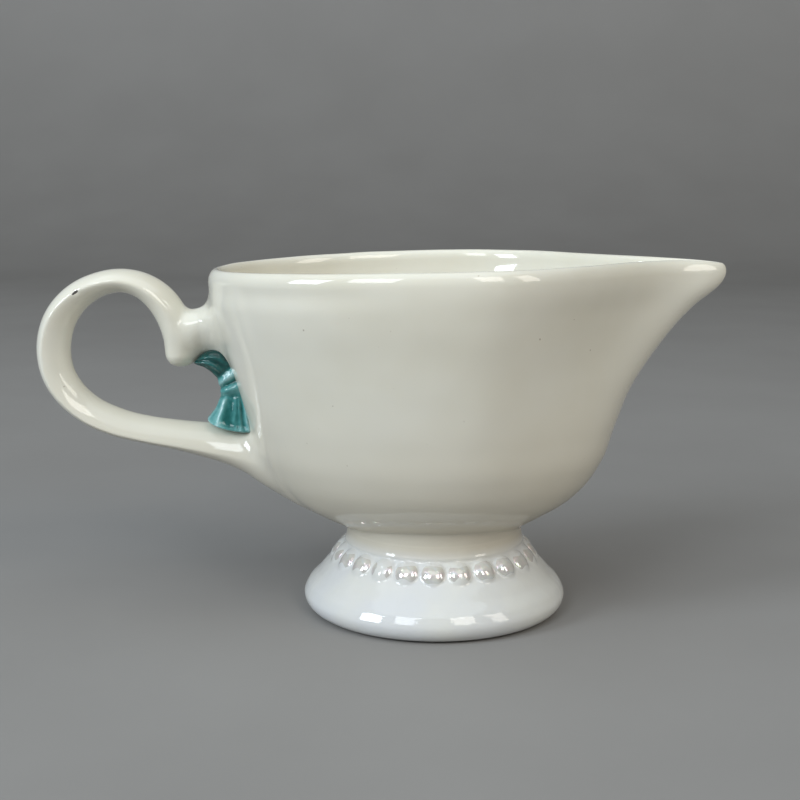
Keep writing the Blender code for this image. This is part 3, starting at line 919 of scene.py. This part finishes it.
def make_ivory(name, chip=None, lustred=False):
    """Cream glaze, darker and warmer low down as painted shade; with a dark chip, or on the foot a cool
    tone, part lustre and part painted sky light.
    """
    made, tree, shader = new_material(name)
    set_glaze(shader)
    cloudy = ramp(
        tree,
        noise(tree, 38, 3),
        (0.30, (0.765, 0.735, 0.620)),
        (0.52, (0.795, 0.770, 0.665)),
        (0.72, (0.815, 0.795, 0.700)),
    )
    height = piece_height(tree)
    # Painted shade: darker and warmer towards the bottom.
    low_shade = to_range(tree, height, 1.0, 0.0, *LOW_SHADE_HEIGHTS)
    specks = ramp(tree, noise(tree, 800, 1), (0.80, (0.0, 0.0, 0.0)), (0.84, (1.0, 1.0, 1.0)))
    colour = mix(tree, specks, mix(tree, low_shade, cloudy, LOW_SHADE_IVORY), SPECK)
    roughness = to_range(tree, noise(tree, 90, 3), 0.03, 0.07)
    if lustred:
        # Partly the foot's lustre and partly painted cool sky light on its upward-facing flare.
        flare = to_range(tree, height, 0.85, 0.0, *FLARE_HEIGHTS)
        lustre_and_sky_tint = ramp(tree, noise(tree, 60, 2, 0.5), (0.35, (0.69, 0.71, 0.73)), (0.65, (0.73, 0.74, 0.71)))
        colour = mix(tree, flare, colour, lustre_and_sky_tint)
    if chip is not None:
        mask = chip_mask(tree, chip)
        colour = mix(tree, mask, colour, CHIP_COLOUR)
        roughness = mix(tree, mask, roughness, CHIP_ROUGHNESS)
    tree.links.new(colour, shader.inputs["Base Color"])
    tree.links.new(roughness, shader.inputs["Roughness"])
    wide, fine = (0.00018, 0.00009) if lustred else (0.00007, 0.000006)  # the waves' depths in metres
    add_bump(tree, shader, (noise(tree, 70, 2), wide), (noise(tree, 300, 2), fine))
    return made


def make_teal():
    """Teal glaze, darker between the pleats as pooling and painted shade, lighter on them as painted light,
    as the bow's own attribute tells.
    """
    made, tree, shader = new_material("teal_glaze")
    set_glaze(shader)
    fold = node(tree, "ShaderNodeAttribute", attribute_name="fold").outputs["Fac"]
    uneven = to_range(tree, noise(tree, 500, 3), -0.12, 0.12)
    lightness = node(tree, "ShaderNodeMath", operation="ADD")
    tree.links.new(fold, lightness.inputs[0])
    tree.links.new(uneven, lightness.inputs[1])
    colour = ramp(
        tree,
        lightness.outputs["Value"],
        (0.05, (0.004, 0.050, 0.046)),
        (0.35, (0.016, 0.130, 0.122)),
        (0.62, (0.075, 0.290, 0.285)),
        (0.85, (0.200, 0.450, 0.450)),
        (1.00, (0.400, 0.610, 0.610)),
    )
    tree.links.new(colour, shader.inputs["Base Color"])
    tree.links.new(to_range(tree, noise(tree, 200, 2), 0.03, 0.07), shader.inputs["Roughness"])
    add_bump(tree, shader, (noise(tree, 380, 3, 0.4), 0.00016))
    return made


def make_lustre():
    """The pearls' lustre: a thin film of uneven thickness under a clear coat, on a base colour painted with
    iridescent reflection tints.
    """
    made, tree, shader = new_material("pearl_lustre")
    shader.inputs["IOR"].default_value = 1.9
    shader.inputs["Coat Weight"].default_value = 1.0
    shader.inputs["Coat Roughness"].default_value = 0.03
    shader.inputs["Coat IOR"].default_value = 1.7
    shader.inputs["Thin Film IOR"].default_value = 1.6
    tree.links.new(to_range(tree, noise(tree, 280, 2), 250.0, 560.0), shader.inputs["Thin Film Thickness"])
    # Painted reflection: pink, yellow and blue patches in the base colour, like the lustre's iridescence.
    colour = ramp(
        tree,
        noise(tree, 260, 2, 0.6),
        (0.30, (0.68, 0.70, 0.72)),
        (0.45, (0.72, 0.71, 0.65)),
        (0.56, (0.74, 0.69, 0.67)),
        (0.68, (0.73, 0.72, 0.60)),
        (0.80, (0.67, 0.71, 0.70)),
    )
    tree.links.new(colour, shader.inputs["Base Color"])
    tree.links.new(to_range(tree, noise(tree, 300, 2), 0.04, 0.10), shader.inputs["Roughness"])
    tree.links.new(to_range(tree, noise(tree, 350, 2), 0.0, 0.3), shader.inputs["Metallic"])
    add_bump(tree, shader, (noise(tree, 420, 2), 0.00016))
    return made


def make_bisque():
    """The bare biscuit of the foot ring."""
    made, tree, shader = new_material("bisque")
    colour = ramp(tree, noise(tree, 700, 4), (0.35, (0.50, 0.44, 0.35)), (0.65, (0.66, 0.60, 0.50)))
    tree.links.new(colour, shader.inputs["Base Color"])
    tree.links.new(to_range(tree, noise(tree, 900, 3), 0.65, 0.9), shader.inputs["Roughness"])
    add_bump(tree, shader, (noise(tree, 2500, 3), 0.00004))
    return made


# ---- pieces ----


def add_piece(name, points, faces, material, slot=None, cad_node=None, normals=None):
    """A smooth-shaded mesh from millimetres, which rides on the root body if it has a CAD node."""
    mesh = bpy.data.meshes.new(name)
    corners = [tuple(int(i) for i in face) for face in faces]
    mesh.from_pydata((points * MM).tolist(), [], corners)
    mesh.materials.append(material)
    mesh.shade_smooth()
    if normals is not None:
        mesh.normals_split_custom_set_from_vertices(normals.tolist())
    made = bpy.data.objects.new(name, mesh)
    bpy.context.scene.collection.objects.link(made)
    made.location = AXIS
    if cad_node:
        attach(made, "root")
        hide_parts(cad_node)
    return made


def make_bowl(ivory):
    add_piece("glazed_bowl", *closed_grid(bowl_rings()), ivory, "ivory_glaze", "bowl")


def make_foot(glaze, bisque):
    """The foot, glazed but for the bare ring that it stands on."""
    foot = add_piece("glazed_foot", *closed_grid(foot_rings()), glaze, "ivory_glaze", "pedestal_foot")
    foot.data.materials.append(bisque)
    for face in foot.data.polygons:
        if face.center.z < BARE_RING_Z * MM:
            face.material_index = 1


def make_handle(ivory):
    points, faces, normals = handle_net()
    add_piece("glazed_handle", points, faces, ivory, "ivory_glaze", "handle", normals)


def make_bow(teal):
    """The bow, with the lightness of its glaze, painted shade and light included, stored on its points for
    the teal material.
    """
    rings, shades = bow_rings()
    bow = add_piece("pleated_bow", *closed_grid(rings), teal, "teal_glaze", "ribbon_bow")
    shades = np.concatenate([shades.ravel(), [shades[0].mean(), shades[-1].mean()]])
    attribute = bow.data.attributes.new("fold", "FLOAT", "POINT")
    attribute.data.foreach_set("value", shades.astype(np.float32))


def make_pearls(lustre):
    """A lustred cap over each pearl's swelling in the foot's glaze."""
    outside, _, out = foot_profile()
    for name, turn, level, size in pearl_places():
        pearl = add_piece(name + "_lustre", *closed_grid(pearl_rings(size)), lustre)
        radius, z = outside[level] * MM
        pearl.location = AXIS + Vector((radius * math.cos(turn), radius * math.sin(turn), z))
        pearl.rotation_euler = (0, math.atan2(out[level, 0], out[level, 1]), turn)
        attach(pearl, "root")
        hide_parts(name)


# ---- stage, light and camera ----

# The table in metres: its half width, its front and back edges, the sweep up from it and the backdrop's top.
TABLE_SIDE = 3.0
TABLE_FRONT = -3.0
TABLE_BACK = 1.0
SWEEP_RADIUS = 0.6
BACKDROP_TOP = 3.0
BACKDROP_COLOUR = (0.56, 0.55, 0.54)
BACKDROP_LIGHTEST = 0.9  # the height at which it has this colour
LIGHT_AIM = Vector((0, 0, 0.05))  # the lights look at this point over the foot
ROOM_COLOUR = (1.0, 0.97, 0.92)
ROOM_STRENGTH = 0.13
CAMERA_PLACE = (-8.5, -324.0, 107.0)  # millimetres from the foot's axis
CAMERA_PITCH = 9.7  # degrees that it looks down
CAMERA_LENS = 60.3


def make_stage():
    """A pale table that sweeps up into a backdrop, which grows lighter upwards."""
    pale, tree, shader = new_material("pale_table")
    colour = ramp(tree, noise(tree, 9, 4), (0.35, (0.268, 0.260, 0.250)), (0.65, (0.288, 0.280, 0.270)))
    upwards = to_range(tree, piece_height(tree), 0.0, 1.0, 0.0, BACKDROP_LIGHTEST)
    tree.links.new(mix(tree, upwards, colour, BACKDROP_COLOUR), shader.inputs["Base Color"])
    shader.inputs["Roughness"].default_value = 0.6
    shader.inputs["Specular IOR Level"].default_value = 0.3
    section = [(TABLE_FRONT, 0.0), (TABLE_BACK, 0.0)]
    for t in np.radians(np.arange(6, 91, 6)):
        y = TABLE_BACK + SWEEP_RADIUS * math.sin(t)
        section.append((y, SWEEP_RADIUS - SWEEP_RADIUS * math.cos(t)))
    section.append((TABLE_BACK + SWEEP_RADIUS, BACKDROP_TOP))
    points = [(side * TABLE_SIDE, y, z) for y, z in section for side in (-1, 1)]
    faces = [(i, i + 1, i + 3, i + 2) for i in range(0, len(points) - 2, 2)]
    mesh = bpy.data.meshes.new("table")
    mesh.from_pydata(points, [], faces)
    mesh.materials.append(pale)
    mesh.shade_smooth()
    table = bpy.data.objects.new("table", mesh)
    bpy.context.scene.collection.objects.link(table)


def softbox(name, bearing, elevation, distance, width, height, radiance, colour):
    """A soft light aimed at the jug. Bearing 0 is in front of it, and positive is to its spout side."""
    data = bpy.data.lights.new(name, "AREA")
    data.shape = "RECTANGLE"
    data.size = width
    data.size_y = height
    data.energy = radiance * math.pi * width * height
    data.color = colour
    made = bpy.data.objects.new(name, data)
    bpy.context.scene.collection.objects.link(made)
    turn, rise = math.radians(bearing), math.radians(elevation)
    away = Vector((math.sin(turn) * math.cos(rise), -math.cos(turn) * math.cos(rise), math.sin(rise)))
    made.location = AXIS + LIGHT_AIM + away * distance
    made.rotation_euler = away.to_track_quat("Z", "Y").to_euler()
    made.visible_camera = False


def make_light():
    """A dim cool light overhead, four soft windows round the front, and the room's warm light."""
    softbox("overhead", -20, 78, 1.1, 1.5, 1.2, 1.0, (0.78, 0.90, 1.0))
    softbox("window_far_left", -60, 25, 1.9, 0.55, 0.8, 13.0, (0.83, 0.92, 1.0))
    softbox("window_left", -29, 36, 1.9, 0.60, 0.85, 5.6, (0.88, 0.94, 1.0))
    softbox("window_right", 28, 36, 1.9, 0.60, 0.85, 4.7, (1.0, 0.96, 0.89))
    softbox("window_far_right", 61, 28, 1.9, 0.45, 1.0, 4.0, (1.0, 0.94, 0.85))
    world = bpy.data.worlds.new("studio")
    world.use_nodes = True
    room = world.node_tree.nodes["Background"]
    room.inputs["Color"].default_value = (*ROOM_COLOUR, 1.0)
    room.inputs["Strength"].default_value = ROOM_STRENGTH
    bpy.context.scene.world = world


def make_camera():
    """The camera in front of the jug, at the photo's height and angle."""
    data = bpy.data.cameras.new("camera")
    data.sensor_width = 36.0
    data.lens = CAMERA_LENS
    data.clip_start = 0.01
    camera = bpy.data.objects.new("camera", data)
    bpy.context.scene.collection.objects.link(camera)
    camera.location = AXIS + Vector(CAMERA_PLACE) * MM
    camera.rotation_euler = (math.radians(90 - CAMERA_PITCH), 0, 0)
    bpy.context.scene.camera = camera


def main():
    bpy.context.scene.view_settings.view_transform = "Standard"
    ivory = make_ivory("ivory_glaze")
    chipped = make_ivory("ivory_glaze_chipped", chip=CHIP * MM)
    make_bowl(ivory)
    make_foot(make_ivory("foot_glaze", lustred=True), make_bisque())
    make_handle(chipped)
    make_bow(make_teal())
    make_pearls(make_lustre())
    make_stage()
    make_light()
    make_camera()
    bpy.context.view_layer.update()


main()
